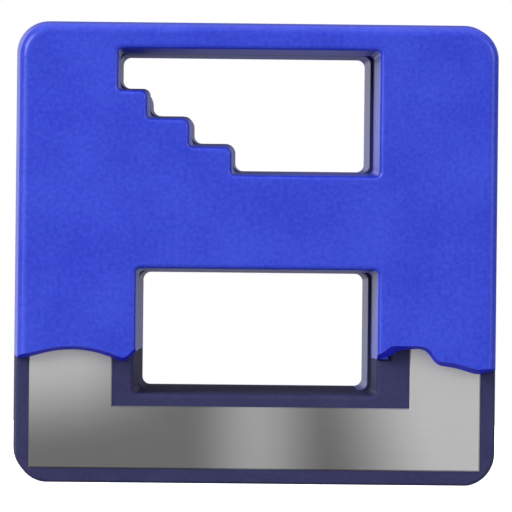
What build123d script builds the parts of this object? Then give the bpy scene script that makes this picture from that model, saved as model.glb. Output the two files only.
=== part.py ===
from build123d import *
import os

# A block that magnetises and demagnetises screwdrivers, cut away to show its magnets' pole plate.
# X runs across the block, Y from its front (-) to its back (+) and Z up.
# The origin is at the middle of the flat bottom; lengths are in millimetres.

# Case
WIDTH = 52.4
DEPTH = 28.0
HEIGHT = 50.0
HALF = DEPTH / 2
SIDE_DRAFT = 0.4
TOP_DRAFT = 0.5
CORNER_RADIUS = 3.5
EDGE_RADIUS = 1.0
WALL = 1.25
SKIN = 1.8
INSIDE = HALF - SKIN
ABOVE = 60.0
GROOVE = 0.25
BOTTOM_SPARE = 0.02

# Windows. LEAN is how far each wall stands in from its place at the front face: where the front cover ends,
# on the carrier behind it, and at the back. The right walls step in at the carrier, which leaves a ledge.
LEAN = {
    "lower left": (0.5, 0.5, 1.15),
    "upper left": (0.35, 0.35, 0.8),
    "riser": (0.5, 0.5, 1.05),
    "right": (0.3, 0.6, 0.73),
    "floor": (0.4, 0.4, 0.6),
    "ceiling": (0.4, 0.4, 0.6),
}
FACE, END, LEDGE, BACK = range(-1, 3)
LIP_RADIUS = 0.5
FRONT_CORNER = 0.5
BACK_CORNER = 0.85
LOWER_LEFT = -13.1
UPPER_LEFT = -15.2
RIGHT = 13.05
LOWER_FLOOR = 9.6
LOWER_CEILING = 23.2
UPPER_FLOOR = 33.3
UPPER_CEILING = 46.9
STEPS = 3
STEP_RISE = 3.0
STEP_RUN = 4.56
LAST_RISER = -2.95
FRONT_NOSES = (0.8, 0.8, 0.8)
BACK_NOSES = (1.1, 1.35, 1.95)

# Broken edge of the front cover: across, height at the face, and how much lower the break is inside
BREAK_LEFT = [(-27.0, 13.87, 0.55), (-24.6, 13.99, 0.53), (-23.3, 14.3, 0.48), (-21.8, 14.6, 0.44),
              (-20.0, 14.75, 0.44), (-18.3, 14.63, 0.42), (-16.6, 14.27, 0.45), (-15.2, 13.82, 0.5),
              (-14.3, 13.59, 0.48), (-13.7, 14.02, 0.54), (-13.05, 14.72, 0.6), (-12.4, 15.3, 0.6)]
BREAK_RIGHT = [(12.6, 14.2, 0.45), (13.4, 14.32, 0.72), (13.9, 14.6, 0.8), (14.35, 15.0, 1.15),
               (15.1, 15.13, 0.8), (16.5, 15.1, 0.43), (18.2, 14.98, 0.43), (18.75, 14.65, 0.62),
               (19.5, 13.68, 0.54), (20.8, 13.37, 0.56), (22.5, 13.02, 0.6), (24.2, 12.65, 0.58),
               (25.0, 12.73, 0.48), (27.0, 13.12, 0.44)]

# Magnet cradle: each shoulder runs between two places across, at a height
SHOULDERS = [(-WIDTH, -24.9, 13.5), (-24.9, 0.0, 14.2), (0.0, WIDTH, 13.6)]
SHOULDER_GAP = 0.04
TOWER_BOTTOM = 12.6
LEFT_SPARE = 0.3
TROUGH = ((-14.0, 11.4), (8.6, 14.2))
CORE = 1.2
CRADLE_FACE = 0.2
CRADLE_EDGE = 0.3
TOWER_INNER = 14.4
TOWER_OUTER = 24.5
TOWER_TOP = 25.5
FIT = 0.15

# U-shaped pole plates
PLATE_LEFT = -24.5
PLATE_RIGHT = 24.25
PLATE_BOTTOM = 1.55
PLATE_BAR_TOP = 8.3
PLATE_TOP = 24.6
PLATE_LEFT_INNER = -15.55
PLATE_RIGHT_INNER = 16.6
PLATE = 2.0
PLATE_PROUD = 0.15
PLATE_CHAMFER = 0.12
PLATE_CLIP = 1.2
PLATE_FIT = 0.005
FRONT_PLATE_FACE = -INSIDE + CRADLE_FACE - PLATE_PROUD
BACK_PLATE_FACE = 8.0

# Magnets
MAGNET_FRONT = FRONT_PLATE_FACE + PLATE
ARM_MAGNET = (6.4, 15.4)
ARM_MAGNET_MIDDLE = (20.0, 16.9)
BASE_MAGNET = (16.0, 5.3)
BASE_MAGNET_MIDDLE = (8.5, 5.05)
MAGNET_EDGE = 0.4
DEMAG_MAGNET = (24.0, 16.0, 4.0)
DEMAG_MIDDLE = 28.2

# Screws, driven in from the back
SCREW_X = 20.6
SCREW_LOW = 4.9
SCREW_HIGH = 44.9
SHANK = 2.9
HOLE = 3.0
HEAD = 5.4
HEAD_HEIGHT = 1.7
SINK = 6.2
SINK_DEPTH = 2.0
SEAT = HALF - SINK_DEPTH
BOSS = 3.2
PAD = 4.1
PAD_DEPTH = 1.8
SCREW_LENGTH = 18.0
CROSS = (0.7, 3.0, 1.0)

RIB = 1.2
FOAM = BACK_PLATE_FACE + PLATE


def plane_at(y):
    """The upright plane at depth y, with X across and Z up."""
    return Plane(origin=(0, y, 0), x_dir=(1, 0, 0), z_dir=(0, -1, 0))


def box(x, y, z):
    """A box between two limits along each axis."""
    size = [high - low for low, high in (x, y, z)]
    return Pos(*[(low + high) / 2 for low, high in (x, y, z)]) * Box(*size)


def rod(x, z, radius, y0, y1):
    """A round bar along Y."""
    return Pos(x, (y0 + y1) / 2, z) * Rot(90, 0, 0) * Cylinder(radius, y1 - y0)


def outline(y, inset=0.0):
    """The case's rounded outline at depth y, a hair too low so that the bottom can be cut flat."""
    lean = abs(y) / HALF
    half = WIDTH / 2 - SIDE_DRAFT * lean - inset
    top = HEIGHT - TOP_DRAFT * lean - inset
    floor = inset - BOTTOM_SPARE
    shape = RectangleRounded(2 * half, top - floor, CORNER_RADIUS - inset)
    return (plane_at(y) * (Pos(0, (top + floor) / 2) * shape)).face()


def slab(y0, y1, inset=0.0):
    """The case's outline between two depths on the same side of the parting plane."""
    return loft([outline(y0, inset), outline(y1, inset)], ruled=True)


def lean(wall, stage):
    """How far a wall stands in at a stage of its depth."""
    return 0.0 if stage == FACE else LEAN[wall][stage]


def lower_corners(stage, wall=0.0):
    """The lower window's outline at a stage of its depth, or its tube's outside when wall is given."""
    left = LOWER_LEFT + lean("lower left", stage) - wall
    right = RIGHT - lean("right", stage) + wall
    floor = LOWER_FLOOR + lean("floor", stage) - wall
    ceiling = LOWER_CEILING - lean("ceiling", stage) + wall
    return [(left, floor), (right, floor), (right, ceiling), (left, ceiling)]


def carrier_corners(stage, wall=0.0):
    """The lower window's outline in the carrier's front, where its left wall starts further out."""
    points = lower_corners(stage, wall)
    left = points[0][0] - (LEFT_SPARE if stage == FACE else 0.0)
    return [(left, points[0][1]), points[1], points[2], (left, points[3][1])]


def riser(step):
    """Where a step's riser and tread are, counted from the floor."""
    return LAST_RISER - step * STEP_RUN, UPPER_FLOOR + (step + 1) * STEP_RISE


def upper_corners(stage, wall=0.0):
    """The upper window's outline with its staircase, or its tube's outside when wall is given."""
    left = UPPER_LEFT + lean("upper left", stage) - wall
    right = RIGHT - lean("right", stage) + wall
    ceiling = UPPER_CEILING - lean("ceiling", stage) + wall
    in_x = lean("riser", stage) - wall
    in_z = lean("floor", stage) - wall
    floor = UPPER_FLOOR + in_z
    points = [(left, ceiling), (right, ceiling), (right, floor), (LAST_RISER + in_x, floor)]
    for step in range(STEPS):
        across, tread = riser(step)
        after = riser(step + 1)[0] + in_x if step < STEPS - 1 else left
        points += [(across + in_x, tread + in_z), (after, tread + in_z)]
    return points


FRONT_SPAN = ((-HALF, FACE), (-CORE, END))
LEDGE_SPAN = ((-CORE, LEDGE), (0, LEDGE))
BACK_SPAN = ((0, LEDGE), (HALF, BACK))


def passage(corners, span, wall=0.0):
    """A window's space over one span of depth, or its tube's outside when wall is given."""
    faces = []
    for y, stage in span:
        faces.append((plane_at(y) * make_face(Polyline(*corners(stage, wall), close=True))).face())
    return loft(faces, ruled=True)


def long_edges(cutter, depth):
    """The edges of a window cutter that run from front to back."""
    return [edge for edge in cutter.edges() if edge.bounding_box().size.Y > 0.9 * depth]


def nose_of(edge):
    """The step whose nose this long edge is, or None."""
    middle = edge.center()
    for step in range(STEPS):
        x, z = riser(step)
        if abs(middle.X - x) < 1 and abs(middle.Z - z) < 1:
            return step
    return None


def window_cutter(corners, span, corner, noses):
    """A window with rounded corners and a rounded nose on each step."""
    cutter = passage(corners, span)
    depth = span[1][0] - span[0][0]
    cutter = fillet([edge for edge in long_edges(cutter, depth) if nose_of(edge) is None], corner)
    if corners is upper_corners:
        for step, radius in enumerate(noses):
            cutter = fillet([edge for edge in long_edges(cutter, depth) if nose_of(edge) == step], radius)
    return cutter


def windows(span, corner, noses):
    """Both windows over one span of depth."""
    lower = window_cutter(lower_corners, span, corner, noses)
    return lower + window_cutter(upper_corners, span, corner, noses)


def tubes(span):
    """The walls round both windows, still solid."""
    return passage(lower_corners, span, WALL) + passage(upper_corners, span, WALL)


def between(y0, y1, low=-1.0, high=ABOVE):
    """Everything between two depths and two heights."""
    return box((-WIDTH, WIDTH), (y0, y1), (low, high))


def parting_groove(y0, y1):
    """The shallow groove along the parting line."""
    return slab(y0, y1) - slab(y0, y1, GROOVE)


def ribs(y0, y1, seat):
    """Stiffening ribs, and the stops and rests of the demagnetising magnet."""
    low = LOWER_CEILING + WALL / 2
    high = UPPER_FLOOR - WALL / 2
    stop = DEMAG_MAGNET[0] / 2 + FIT
    parts = []
    for side in (-1, 1):
        across = sorted((side * stop, side * (stop + RIB)))
        parts.append(box(across, (y0, y1), (low, high)))
        across = sorted((side * 6.0, side * (6.0 + RIB)))
        parts.append(box(across, seat, (low, high)))
        across = sorted((side * (TOWER_INNER - 1), side * (TOWER_OUTER + 0.8)))
        parts.append(box(across, (y0, y1), (TOWER_TOP + FIT, TOWER_TOP + FIT + RIB)))
    return parts


def screw_spots(heights):
    """Across and height of the screws at these heights."""
    return [(side * SCREW_X, height) for height in heights for side in (-1, 1)]


def round_lips(body, y):
    """Round the window edges of a shell's face at depth y."""
    lips = []
    for edge in body.edges():
        bounds = edge.bounding_box()
        middle = edge.center()
        on_face = abs(bounds.min.Y - y) < 1e-3 and abs(bounds.max.Y - y) < 1e-3
        if on_face and abs(middle.X) < 18 and 5 < middle.Z < UPPER_CEILING + 1:
            lips.append(edge)
    return fillet(lips, LIP_RADIUS)


def rounded_slab(y0, y1, face):
    """Half of the case as a solid, with its face's outer edge rounded."""
    body = slab(y0, y1)
    rim = [e for e in body.edges() if abs(e.center().Y - face) < 1e-3 and e.bounding_box().size.Y < 1e-3]
    return fillet(rim, EDGE_RADIUS)


def break_face(points, y, dropped):
    """The region under the broken edge at depth y."""
    line = [(x, z - (drop if dropped else 0)) for x, z, drop in points]
    edge = Spline(*line)
    floor = -1.0
    rest = Polyline(line[-1], (line[-1][0], floor), (line[0][0], floor), line[0])
    return (plane_at(y) * make_face(edge + rest)).face()


def broken_away(points):
    """What is missing of the front cover's skin on one side of the lower window."""
    return loft([break_face(points, -HALF - 0.1, False), break_face(points, -INSIDE + 0.1, True)], ruled=True)


def front_shell():
    """The blue front cover, broken off along its lower edge."""
    behind_skin = -INSIDE - 0.1
    body = rounded_slab(-HALF, 0, -HALF) - slab(-INSIDE, 0, WALL)
    body += tubes(FRONT_SPAN) & between(behind_skin, -CORE)
    for x, z in screw_spots([SCREW_HIGH]):
        body += rod(x, z, BOSS, behind_skin, -CORE)
    for rib in ribs(behind_skin, -CORE, (behind_skin, -DEMAG_MAGNET[1] / 2)):
        body += rib
    body -= windows(FRONT_SPAN, FRONT_CORNER, FRONT_NOSES)
    body = round_lips(body, -HALF)
    for x, z in screw_spots([SCREW_HIGH]):
        body -= rod(x, z, HOLE / 2, SEAT - SCREW_LENGTH - 1, 0)
    for left, right, shoulder in SHOULDERS:
        body -= box((left, right), (-INSIDE, 1), (-1, shoulder))
    body -= broken_away(BREAK_LEFT)
    body -= broken_away(BREAK_RIGHT)
    body -= box((BREAK_LEFT[-1][0], BREAK_RIGHT[0][0]), (-HALF - 1, 1), (-1, SHOULDERS[-1][2]))
    return body - parting_groove(-GROOVE, 0)


def rear_shell():
    """The blue rear half, with the screw seats."""
    behind_skin = INSIDE + 0.1
    body = rounded_slab(0, HALF, HALF) - slab(0, INSIDE, WALL)
    body += tubes(BACK_SPAN) & between(0, behind_skin)
    body -= box(TROUGH[0], (-1, INSIDE), TROUGH[1])
    for x, z in screw_spots([SCREW_HIGH]):
        body += rod(x, z, BOSS, 0, behind_skin)
    for x, z in screw_spots([SCREW_LOW, SCREW_HIGH]):
        body += rod(x, z, PAD, SEAT - PAD_DEPTH, behind_skin)
    for rib in ribs(0, behind_skin, (DEMAG_MAGNET[1] / 2, behind_skin)):
        body += rib
    body &= slab(0, HALF)
    body -= windows(BACK_SPAN, BACK_CORNER, BACK_NOSES)
    body = round_lips(body, HALF)
    for x, z in screw_spots([SCREW_LOW, SCREW_HIGH]):
        body -= rod(x, z, HOLE / 2, 0, HALF)
        body -= rod(x, z, SINK / 2, SEAT, HALF)
    body -= parting_groove(0, GROOVE)
    return body & between(0, HALF, 0)


def plate_corners(grow=0.0):
    """The U of a pole plate, or its pocket when it grows."""
    left, right = PLATE_LEFT - grow, PLATE_RIGHT + grow
    left_inner, right_inner = PLATE_LEFT_INNER + grow, PLATE_RIGHT_INNER - grow
    bottom, bar, top = PLATE_BOTTOM - grow, PLATE_BAR_TOP + grow, PLATE_TOP + grow
    return [(left, bottom), (right, bottom), (right, top), (right_inner, top),
            (right_inner, bar), (left_inner, bar), (left_inner, top), (left, top)]


def plate_solid(y0, y1, grow=0.0):
    """A U-shaped plate between two depths."""
    face = plane_at(y1) * make_face(Polyline(*plate_corners(grow), close=True))
    return extrude(face, y1 - y0)


def front_pole_plate():
    """The steel U that shows where the cover is broken away."""
    plate = plate_solid(FRONT_PLATE_FACE, FRONT_PLATE_FACE + PLATE)
    front = plate.faces().sort_by(Axis.Y)[0]
    return chamfer(front.edges(), PLATE_CHAMFER)


def rear_pole_plate():
    """The matching steel U behind the magnets, clipped to fit the case's corners, with screw holes."""
    plate = plate_solid(BACK_PLATE_FACE, BACK_PLATE_FACE + PLATE)
    corners = [edge for edge in plate.edges().filter_by(Axis.Y)
               if edge.center().Z < PLATE_BOTTOM + 0.1]
    plate = chamfer(corners, PLATE_CLIP)
    for x, z in screw_spots([SCREW_LOW]):
        plate -= rod(x, z, SHANK / 2 + 0.3, BACK_PLATE_FACE, BACK_PLATE_FACE + PLATE)
    return plate


def block_magnet(size, middle, side, grow=0.0):
    """A ferrite block on one side of the block, or its pocket when it grows."""
    half_x = size[0] / 2 + grow
    half_z = size[1] / 2 + grow
    x = side * middle[0]
    return box((x - half_x, x + half_x), (MAGNET_FRONT, BACK_PLATE_FACE),
               (middle[1] - half_z, middle[1] + half_z))


def ground(magnet):
    """A magnet with its long edges ground off."""
    return chamfer(magnet.edges().filter_by(Axis.Y), MAGNET_EDGE)


def demag_magnet():
    """The weaker bar between the windows; the steps lead away from it."""
    return chamfer((Pos(0, 0, DEMAG_MIDDLE) * Box(*DEMAG_MAGNET)).edges().filter_by(Axis.X), MAGNET_EDGE)


def trough():
    """The carrier's own walls under and left of the lower window, back to the rear shell's skin."""
    (left, right), (low, high) = TROUGH
    room = box((left, right - SHOULDER_GAP), (0, INSIDE - SHOULDER_GAP), (low, high - SHOULDER_GAP))
    walls = passage(lower_corners, BACK_SPAN, WALL) & room
    return walls - window_cutter(lower_corners, BACK_SPAN, BACK_CORNER, BACK_NOSES)


def magnet_cradle():
    """The navy carrier: the lower front of the case, and a core plate that both windows pass through."""
    front = -INSIDE + CRADLE_FACE
    body = slab(front, 0)
    rim = [e for e in body.edges() if abs(e.center().Y - front) < 1e-3 and e.bounding_box().size.Y < 1e-3]
    body = fillet(rim, CRADLE_EDGE)
    for left, right, shoulder in SHOULDERS:
        body -= box((left, right + SHOULDER_GAP), (-HALF, 1), (shoulder - SHOULDER_GAP, ABOVE))
    for side in (-1, 1):
        across = sorted((side * TOWER_INNER, side * TOWER_OUTER))
        body += box(across, (front, 0), (TOWER_BOTTOM, TOWER_TOP))
    body += slab(-CORE, 0, WALL + FIT)
    body -= window_cutter(carrier_corners, FRONT_SPAN, FRONT_CORNER, FRONT_NOSES)
    body -= windows(LEDGE_SPAN, BACK_CORNER, BACK_NOSES)
    body = round_lips(body, front)
    body -= plate_solid(front - 1, MAGNET_FRONT, PLATE_FIT)
    for side in (-1, 1):
        body -= block_magnet(ARM_MAGNET, ARM_MAGNET_MIDDLE, side, FIT)
        body -= block_magnet(BASE_MAGNET, BASE_MAGNET_MIDDLE, side, FIT)
    half = DEMAG_MAGNET[0] / 2 + FIT
    rise = DEMAG_MAGNET[2] / 2 + FIT
    body -= box((-half, half), (-HALF, HALF), (DEMAG_MIDDLE - rise, DEMAG_MIDDLE + rise))
    for x, z in screw_spots([SCREW_LOW]):
        body += rod(x, z, BOSS - 0.3, -CORE, BACK_PLATE_FACE)
    for x, z in screw_spots([SCREW_LOW, SCREW_HIGH]):
        body -= rod(x, z, HOLE / 2, SEAT - SCREW_LENGTH - 1, BACK_PLATE_FACE)
    body -= parting_groove(-GROOVE, 0)
    return (body & between(front, BACK_PLATE_FACE, 0)) + trough()


def case_screw(x, z):
    """A pan-head self-tapping screw with a cross recess."""
    head = rod(x, z, HEAD / 2, SEAT, SEAT + HEAD_HEIGHT)
    head = fillet(head.edges().sort_by(Axis.Y)[-1], HEAD_HEIGHT * 0.5)
    shank = rod(x, z, SHANK / 2, SEAT - SCREW_LENGTH, SEAT)
    shank = chamfer(shank.edges().sort_by(Axis.Y)[0], SHANK * 0.35)
    width, length, depth = CROSS
    screw = head + shank
    for size in ((width, length), (length, width)):
        screw -= Pos(x, SEAT + HEAD_HEIGHT - depth / 2, z) * Box(size[0], depth, size[1])
    return screw


def foam_pads():
    """Foam pads that stop the rear plate rattling."""
    pads = [box((-7, 7), (FOAM, INSIDE), (2.6, 7.4))]
    for side in (-1, 1):
        across = sorted((side * 17.0, side * 22.5))
        pads.append(box(across, (FOAM, INSIDE), (12.0, 22.0)))
    return pads


def solids(shapes):
    """Several separate solids of one node."""
    return Compound(children=[shape.solid() for shape in shapes])


PARTS = {
    "front_shell": front_shell(),
    "rear_shell": rear_shell(),
    "magnet_cradle": magnet_cradle(),
    "front_pole_plate": front_pole_plate(),
    "rear_pole_plate": rear_pole_plate(),
    "left_magnet": ground(block_magnet(ARM_MAGNET, ARM_MAGNET_MIDDLE, -1)),
    "right_magnet": ground(block_magnet(ARM_MAGNET, ARM_MAGNET_MIDDLE, 1)),
    "base_magnet_left": ground(block_magnet(BASE_MAGNET, BASE_MAGNET_MIDDLE, -1)),
    "base_magnet_right": ground(block_magnet(BASE_MAGNET, BASE_MAGNET_MIDDLE, 1)),
    "demag_magnet": demag_magnet(),
    "case_screws": solids([case_screw(x, z) for x, z in screw_spots([SCREW_LOW, SCREW_HIGH])]),
    "foam_pads": solids(foam_pads()),
}

os.makedirs("parts", exist_ok=True)
for name, shape in PARTS.items():
    export_step(shape, f"parts/{name}.step")
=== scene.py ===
# %% [markdown]
# # A cut-away magnetiser block
#
# The object is a small plastic block that magnetises and demagnetises screwdrivers. A shaft is pushed through
# the plain lower window to magnetise it, and drawn up the steps of the upper window to demagnetise it. The
# lower front of its blue cover is broken away, so that the navy carrier and the steel pole plate show.
#
# The shapes are a fixed frame that was designed elsewhere. This file gives them their finishes, and sets up a
# studio and a camera.

# %% The frame
import math
import bpy
from mathutils import Matrix, Vector

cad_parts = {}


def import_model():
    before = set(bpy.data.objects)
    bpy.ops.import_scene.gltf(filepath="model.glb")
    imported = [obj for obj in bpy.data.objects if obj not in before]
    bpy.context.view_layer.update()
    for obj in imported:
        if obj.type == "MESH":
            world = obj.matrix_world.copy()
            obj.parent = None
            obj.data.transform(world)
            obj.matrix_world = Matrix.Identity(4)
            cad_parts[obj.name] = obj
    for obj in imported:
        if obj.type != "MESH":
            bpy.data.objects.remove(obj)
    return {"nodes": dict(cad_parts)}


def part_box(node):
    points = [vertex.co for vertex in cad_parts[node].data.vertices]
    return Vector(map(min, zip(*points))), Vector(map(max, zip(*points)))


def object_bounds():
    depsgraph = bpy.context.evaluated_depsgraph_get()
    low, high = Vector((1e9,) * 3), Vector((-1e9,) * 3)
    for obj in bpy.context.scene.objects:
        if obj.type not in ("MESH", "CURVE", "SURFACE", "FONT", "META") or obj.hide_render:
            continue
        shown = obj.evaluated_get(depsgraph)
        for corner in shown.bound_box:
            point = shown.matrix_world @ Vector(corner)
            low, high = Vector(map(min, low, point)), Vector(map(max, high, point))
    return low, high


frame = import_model()
nodes = frame["nodes"]
cad_low, cad_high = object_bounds()
MM = 0.001
print("frame box in mm:", [round(v / MM, 2) for v in (*cad_low, *cad_high)])

# %% [markdown]
# Every finish here is a small sum of noises and slopes, and Blender writes such sums as chains of nodes.
# Wiring each one by hand hides the idea, so a thin wrapper lets a line of Python read like the sum itself.
# `Nodes` adds nodes to a tree, `Number` is a value that flows between them, and `Finish` is a tree that ends
# in a surface. Colours are linear, and run from the darker to the lighter end of each finish.

# %% A short way to write shader maths
class Number:
    """A number that flows through a node tree, with the usual operators."""

    def __init__(self, nodes, socket):
        self.nodes = nodes
        self.socket = socket

    def maths(self, operation, *others):
        """Join this number to others by one of Blender's operations."""
        return self.nodes.add("ShaderNodeMath", dict(enumerate((self, *others))), operation=operation)

    def __add__(self, other):
        return self.maths("ADD", other)

    def __mul__(self, other):
        return self.maths("MULTIPLY", other)

    def __sub__(self, other):
        return self.maths("SUBTRACT", other)

    def __rsub__(self, other):
        return self.nodes.add("ShaderNodeMath", {0: other, 1: self}, operation="SUBTRACT")

    def __neg__(self):
        return self.maths("MULTIPLY", -1.0)

    __radd__ = __add__
    __rmul__ = __mul__

    def smooth(self, start, end):
        """0 before start, 1 after end, with a soft slope between them."""
        inputs = {"Value": self, "From Min": start, "From Max": end}
        return self.nodes.add("ShaderNodeMapRange", inputs, interpolation_type="SMOOTHSTEP")

    def dim(self, share, place):
        """The number, less this share of it where place is 1."""
        return self * (1 - share * place)

    def size(self):
        """The number without its sign."""
        return self.maths("ABSOLUTE")

    def hump(self, middle, width):
        """1 at the middle, falling softly to 0 this far to either side."""
        return (self - middle).size().smooth(width, 0.0)


class Nodes:
    """A node tree whose nodes are added by short calls."""

    def __init__(self, tree):
        self.tree = tree

    def add(self, kind, inputs=None, output=0, stops=None, **settings):
        """Add a node: its settings first, then the values or links of its sockets."""
        node = self.tree.nodes.new(kind)
        for name, value in settings.items():
            setattr(node, name, value)
        if stops:
            while len(node.color_ramp.elements) < len(stops):
                node.color_ramp.elements.new(0.5)
            for element, (position, colour) in zip(node.color_ramp.elements, stops):
                element.position = position
                element.color = (*colour, 1.0)
        for name, value in (inputs or {}).items():
            self.put(node.inputs[name], value)
        return Number(self, node.outputs[output])

    def put(self, socket, value):
        """Set a socket to a plain value, or link it to a number."""
        if isinstance(value, Number):
            self.tree.links.new(value.socket, socket)
        else:
            socket.default_value = (*value, 1.0) if socket.type == "RGBA" and len(value) == 3 else value

    def parts(self, vector):
        """A vector's three numbers."""
        split = self.add("ShaderNodeSeparateXYZ", {0: vector})
        return [Number(self, output) for output in split.socket.node.outputs]

    def mix(self, share, first, second):
        """A colour between two others."""
        inputs = {"Factor": share, 6: first, 7: second}
        return self.add("ShaderNodeMix", inputs, output=2, data_type="RGBA")


class Finish(Nodes):
    """A material whose nodes are added by short calls."""

    def __init__(self, name):
        self.material = bpy.data.materials.new(name)
        self.material.use_nodes = True
        super().__init__(self.material.node_tree)
        self.surface = self.tree.nodes["Principled BSDF"]
        self.place = self.add("ShaderNodeTexCoord", output="Object")
        self.x, self.y, self.z = (part * (1 / MM) for part in self.parts(self.place))

    def set(self, **inputs):
        """Set the surface's inputs, with underscores for the spaces in their names."""
        for name, value in inputs.items():
            self.put(self.surface.inputs[name.replace("_", " ")], value)

    def upward(self):
        """How far the surface faces up, from -1 to 1."""
        return self.parts(self.add("ShaderNodeNewGeometry", output="Normal"))[2]

    def grain(self, size, detail=2.0, stretch=(1, 1, 1)):
        """Noise from 0 to 1, with grains of about this size in millimetres, stretched along the axes."""
        scale = [1 / (size * MM * length) for length in stretch]
        spot = self.add("ShaderNodeMapping", {"Vector": self.place, "Scale": scale})
        return self.add("ShaderNodeTexNoise", {"Vector": spot, "Scale": 1.0, "Detail": detail})

    def bump(self, height, depth):
        """Shade the surface as if it rose by this many millimetres where height is 1."""
        inputs = {"Height": height, "Distance": depth * MM, "Strength": 1.0}
        self.put(self.surface.inputs["Normal"], self.add("ShaderNodeBump", inputs))


def dress(names, finish):
    """Give these nodes of the frame a finish."""
    for name in names:
        slots = nodes[name].data.materials
        slots.clear()
        slots.append(finish.material)
    print(finish.material.name, "on", ", ".join(names))

# %% [markdown]
# ## Blue plastic
#
# The cover is moulded in a tool that was etched by sparks, which leaves a fine satin grain, and its pigment
# is never stirred quite evenly. A plain glossy blue would look like a toy, so two sizes of noise shift the
# colour a little, and finer ones roughen it and lift the surface by a few microns. Where the cover was broken
# off, the break is rougher than the moulded skin, and its deeper blue is painted shade for a face that looks
# down. It is picked out by where it is, low down and within the thickness of the skin, and by facing
# downwards.

# %% Blue plastic
BLUE_SKIN = (0.0060, 0.026, 0.50), (0.030, 0.059, 0.62)
# Painted shade: the deeper blue given to the break, which faces downwards.
BLUE_PAINTED_SHADE = (0.001, 0.004, 0.7)
BREAK_TOP = 15.8        # mm above the bottom
SKIN_MIDDLE = -13.1     # mm along y
SKIN_HALF = 0.75        # mm, half the skin's thickness
EDGE = 0.1              # mm, how softly the break's colour begins


def blue_plastic():
    finish = Finish("satin_blue_plastic")
    cloud = finish.grain(6.0)
    mottle = finish.grain(0.45, detail=3.0)
    shade = 0.4 * cloud + 0.6 * mottle
    skin = finish.mix(shade.smooth(0.25, 0.75), *BLUE_SKIN)
    low = finish.z.smooth(BREAK_TOP + EDGE, BREAK_TOP - EDGE)
    within = (finish.y - SKIN_MIDDLE).size().smooth(SKIN_HALF + EDGE, SKIN_HALF)
    # The break's mask: the blue it gets is painted shade, while its extra roughness and bump are the break's
    # own.
    break_and_painted_shade = low * within * (-finish.upward()).smooth(0.2, 0.4)
    finish.set(Base_Color=finish.mix(break_and_painted_shade, skin, BLUE_PAINTED_SHADE))
    finish.set(Roughness=0.31 + 0.1 * finish.grain(0.3) + 0.3 * break_and_painted_shade)
    finish.bump(finish.grain(0.14, detail=3.0) + 0.6 * mottle + 3.0 * break_and_painted_shade * finish.grain(0.5), 0.006)
    return finish


dress(["front_shell", "rear_shell"], blue_plastic())

# %% [markdown]
# ## Navy plastic
#
# The carrier is a plain inner moulding. It has the same fine grain, but it is duller and reflects very
# little, so it keeps its own dark blue from every side.

# %% Navy plastic
NAVY = (0.031, 0.032, 0.089), (0.041, 0.042, 0.109)


def navy_plastic():
    finish = Finish("navy_plastic")
    mottle = finish.grain(0.6, detail=3.0)
    shade = 0.5 * finish.grain(4.0) + 0.5 * mottle
    finish.set(Base_Color=finish.mix(shade.smooth(0.3, 0.7), *NAVY))
    finish.set(Roughness=0.5 + 0.12 * finish.grain(0.35), Specular_IOR_Level=0.04)
    finish.bump(finish.grain(0.16), 0.004)
    return finish


dress(["magnet_cradle"], navy_plastic())

# %% [markdown]
# ## Pole steel
#
# The pole plates are mild steel strip, brushed along the bar, and brushing leaves fine lines. The plate's run
# from dark to bright is a painted reflection: bright at the tops of both arms and in the middle of the bar,
# dark between them. Each bright patch is a soft slope in millimetres, and its share says how bright the
# painted reflection is there. The left patch also fades out towards the plate's lower edge.

# %% Pole steel
# Dark, middle and bright steel for the painted reflection; the brushed lines are the steel's own.
STEEL_REFLECTION_TONES = (0.18, 0.18, 0.178), (0.46, 0.46, 0.455), (0.74, 0.74, 0.73)
STEEL_LINE = (0.4, 0.4, 0.4)
# How bright the painted reflection is in each patch.
LEFT_PAINTED_REFLECTION, MIDDLE_PAINTED_REFLECTION, RIGHT_PAINTED_REFLECTION = 0.88, 0.53, 0.92


def pole_steel():
    finish = Finish("brushed_pole_steel")
    low, high = (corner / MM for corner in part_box("front_pole_plate"))
    # The left, middle and right patches where the reflection is painted in.
    left = (-finish.x).smooth(7.0, 20.0) * (finish.z - 0.12 * finish.x).smooth(low.z + 4.0, low.z + 15.0)
    middle = finish.x.hump(0.2, 8.0)
    right = (finish.x + 0.25 * finish.z).smooth(8.0, 21.0)
    painted_reflection = LEFT_PAINTED_REFLECTION * left + MIDDLE_PAINTED_REFLECTION * middle + RIGHT_PAINTED_REFLECTION * right
    lines = finish.grain(0.09, detail=3.0, stretch=(60, 1, 1))
    # The plate's tone from dark to bright is painted reflection, not the steel's own colour.
    painted_reflection_tone = finish.add("ShaderNodeValToRGB", {0: painted_reflection}, stops=list(zip((0.0, 0.5, 1.0), STEEL_REFLECTION_TONES)))
    finish.set(Base_Color=finish.mix(0.25 * lines, painted_reflection_tone, STEEL_LINE), Metallic=1.0)
    finish.set(Roughness=0.42 + 0.12 * lines)
    finish.bump(lines, 0.002)
    print("plate from", [round(v, 2) for v in low], "to", [round(v, 2) for v in high])
    return finish


dress(["front_pole_plate", "rear_pole_plate"], pole_steel())

# %% [markdown]
# ## Magnets, screws and foam
#
# The magnets are sintered ferrite: a dark grey ceramic, ground flat, with faint grinding lines. The screws
# are zinc plated. The foam is closed-cell, so it shows small round cells. Most of these hide inside the
# block, but each still has its own finish.

# %% Magnets, screws and foam
FERRITE = (0.028, 0.028, 0.03), (0.06, 0.06, 0.062)
ZINC = (0.52, 0.53, 0.55), (0.68, 0.68, 0.67)
FOAM = (0.03, 0.03, 0.032), (0.075, 0.075, 0.08)
FOAM_CELL = 0.4         # mm


def ferrite():
    finish = Finish("ground_ferrite")
    lines = finish.grain(0.12, stretch=(1, 40, 1))
    finish.set(Base_Color=finish.mix(finish.grain(0.4), *FERRITE))
    finish.set(Roughness=0.55 + 0.2 * lines)
    finish.bump(lines, 0.004)
    return finish


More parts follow.
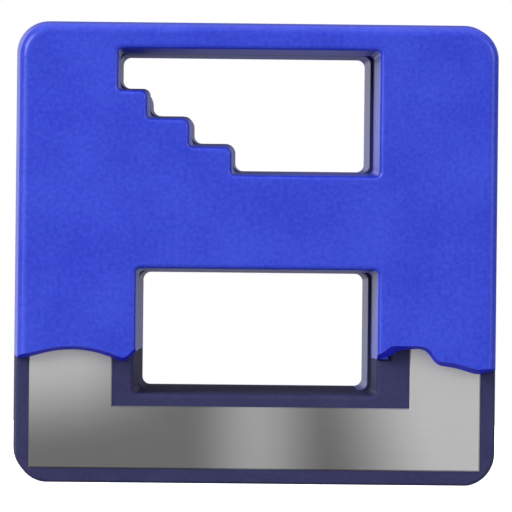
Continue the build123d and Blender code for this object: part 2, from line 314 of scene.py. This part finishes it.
def zinc():
    finish = Finish("zinc_plating")
    cloud = finish.grain(0.8, detail=3.0)
    finish.set(Base_Color=finish.mix(cloud, *ZINC), Metallic=1.0)
    finish.set(Roughness=0.24 + 0.16 * cloud)
    finish.bump(finish.grain(0.1), 0.002)
    return finish


def foam():
    finish = Finish("closed_cell_foam")
    cells = finish.add("ShaderNodeTexVoronoi", {"Vector": finish.place, "Scale": 1 / (FOAM_CELL * MM)})
    finish.set(Base_Color=finish.mix(cells, *FOAM), Roughness=0.9)
    finish.bump(cells, 0.05)
    return finish


dress(["left_magnet", "right_magnet", "base_magnet_left", "base_magnet_right", "demag_magnet"], ferrite())
dress(["case_screws"], zinc())
dress(["foam_pads"], foam())

# %% [markdown]
# ## The studio
#
# The block stands on a small white table in front of white. The camera sees both as pure white, but what they
# give to the block is dimmer and uneven, so that each wall of the windows gets its own tone:
#
# - Behind the block, a band of light lies along the horizon, brighter on the left. It widens towards the
#   sides and dims far out. Above it the light is weak, and below it there is almost none. The windows' walls
#   are seen at a glancing angle, so they mirror this band.
# - On the camera's side, the light is brightest round the camera, and dimmer on the right and below.
# - Overhead, a soft patch brightens the top edge.
#
# Three soft lamps add the rest: a key at the upper left, a weaker fill on the right, and a faint rim behind.

# %% Table and world
TABLE_RADIUS = 0.25
TABLE_GLOW = 0.9        # towards the camera alone, which hides the table's far edge
TABLE_DULL, TABLE_WHITE = (0.35, 0.35, 0.35), (0.88, 0.88, 0.88)
BLACK, WHITE = (0, 0, 0), (1, 1, 1)
BACK_GLOW, BACK_LEFT_GLOW = 0.45, 0.4
FRONT_GLOW, FRONT_MIDDLE_GLOW = 0.42, 0.3
TOP_GLOW = 0.9
BAND_SLANT = 0.6        # how fast the band behind the block widens towards the sides


def table():
    finish = Finish("white_table")
    seen = finish.add("ShaderNodeLightPath", output="Is Camera Ray")
    finish.set(Base_Color=finish.mix(seen, TABLE_DULL, TABLE_WHITE), Roughness=0.8)
    finish.set(Emission_Color=finish.mix(seen, BLACK, WHITE), Emission_Strength=TABLE_GLOW)
    bpy.ops.mesh.primitive_circle_add(vertices=96, radius=TABLE_RADIUS, fill_type="NGON")
    disc = bpy.context.object
    disc.name = "table"
    disc.data.materials.append(finish.material)


def studio_light(sky):
    """How bright the world is in each direction: x to the right, y away from the camera, z up."""
    x, y, z = sky.parts(sky.add("ShaderNodeTexCoord", output="Generated"))
    behind = y.smooth(-0.2, 0.3)
    middle = (-y).smooth(0.7, 1.0)
    left = (-x).smooth(0.0, 0.1)
    right = x.smooth(0.0, 0.5)
    far_out = x.size().smooth(0.3, 0.6)
    overhead = z.smooth(0.4, 0.9)
    below = (-z).smooth(0.0, 0.35)
    slant = BAND_SLANT * x.size()
    under_band = (-z - slant).smooth(-0.02, 0.03)
    over_band = (z - slant).smooth(0.0, 0.2)
    back = (BACK_GLOW + BACK_LEFT_GLOW * left).dim(0.4, far_out).dim(0.95, under_band).dim(0.7, over_band)
    front = (FRONT_GLOW + FRONT_MIDDLE_GLOW * middle).dim(0.5, right).dim(0.85, below)
    return front * (1 - behind) + back * behind + TOP_GLOW * overhead


def world():
    space = bpy.data.worlds.new("studio")
    space.use_nodes = True
    bpy.context.scene.world = space
    sky = Nodes(space.node_tree)
    soft = sky.add("ShaderNodeBackground", {"Color": WHITE, "Strength": studio_light(sky)})
    white = sky.add("ShaderNodeBackground", {"Color": WHITE, "Strength": 1.0})
    seen = sky.add("ShaderNodeLightPath", output="Is Camera Ray")
    both = sky.add("ShaderNodeMixShader", {0: seen, 1: soft, 2: white})
    sky.put(space.node_tree.nodes["World Output"].inputs["Surface"], both)


def lamp(name, place, size, watts):
    """A square soft lamp that points at the middle of the block, with its place and size in metres."""
    light = bpy.data.lights.new(name, "AREA")
    light.size = size
    light.energy = watts
    lamp_object = bpy.data.objects.new(name, light)
    lamp_object.location = place
    middle = (cad_low + cad_high) / 2
    lamp_object.rotation_euler = (middle - Vector(place)).to_track_quat("-Z", "Y").to_euler()
    bpy.context.scene.collection.objects.link(lamp_object)


table()
world()
lamp("key", place=(-0.65, -0.5, 0.35), size=0.4, watts=6.0)
lamp("fill", place=(0.6, -0.5, 0.25), size=0.4, watts=2.0)
lamp("rim", place=(0.6, 0.5, 0.3), size=0.3, watts=0.4)

# %% [markdown]
# ## The camera
#
# The view is almost square on, from a little left of the middle, through a long lens, so that the right walls
# of the windows just show. The camera is rolled by about half a degree.

# %% Camera
DISTANCE = 900 * MM
VIEW_WIDTH = 55.1546 * MM   # what the view takes in, at the block's front
SENSOR = 36.0               # mm, the unit that Blender's lenses use
EYE = Vector((-22 * MM, cad_low.y - DISTANCE, 29.5 * MM))
TARGET = Vector((-0.19 * MM, cad_low.y, 24.63 * MM))
ROLL = math.radians(0.6)

camera_data = bpy.data.cameras.new("camera")
camera_data.sensor_width = SENSOR
camera_data.lens = SENSOR * DISTANCE / VIEW_WIDTH
camera_data.clip_end = 10.0
camera = bpy.data.objects.new("camera", camera_data)
aim = (TARGET - EYE).to_track_quat("-Z", "Y").to_matrix().to_4x4()
camera.matrix_world = Matrix.Translation(EYE) @ aim @ Matrix.Rotation(ROLL, 4, "Z")
bpy.context.scene.collection.objects.link(camera)
bpy.context.scene.camera = camera
bpy.context.scene.view_settings.view_transform = "Standard"
print("lens", round(camera_data.lens, 1), "mm")
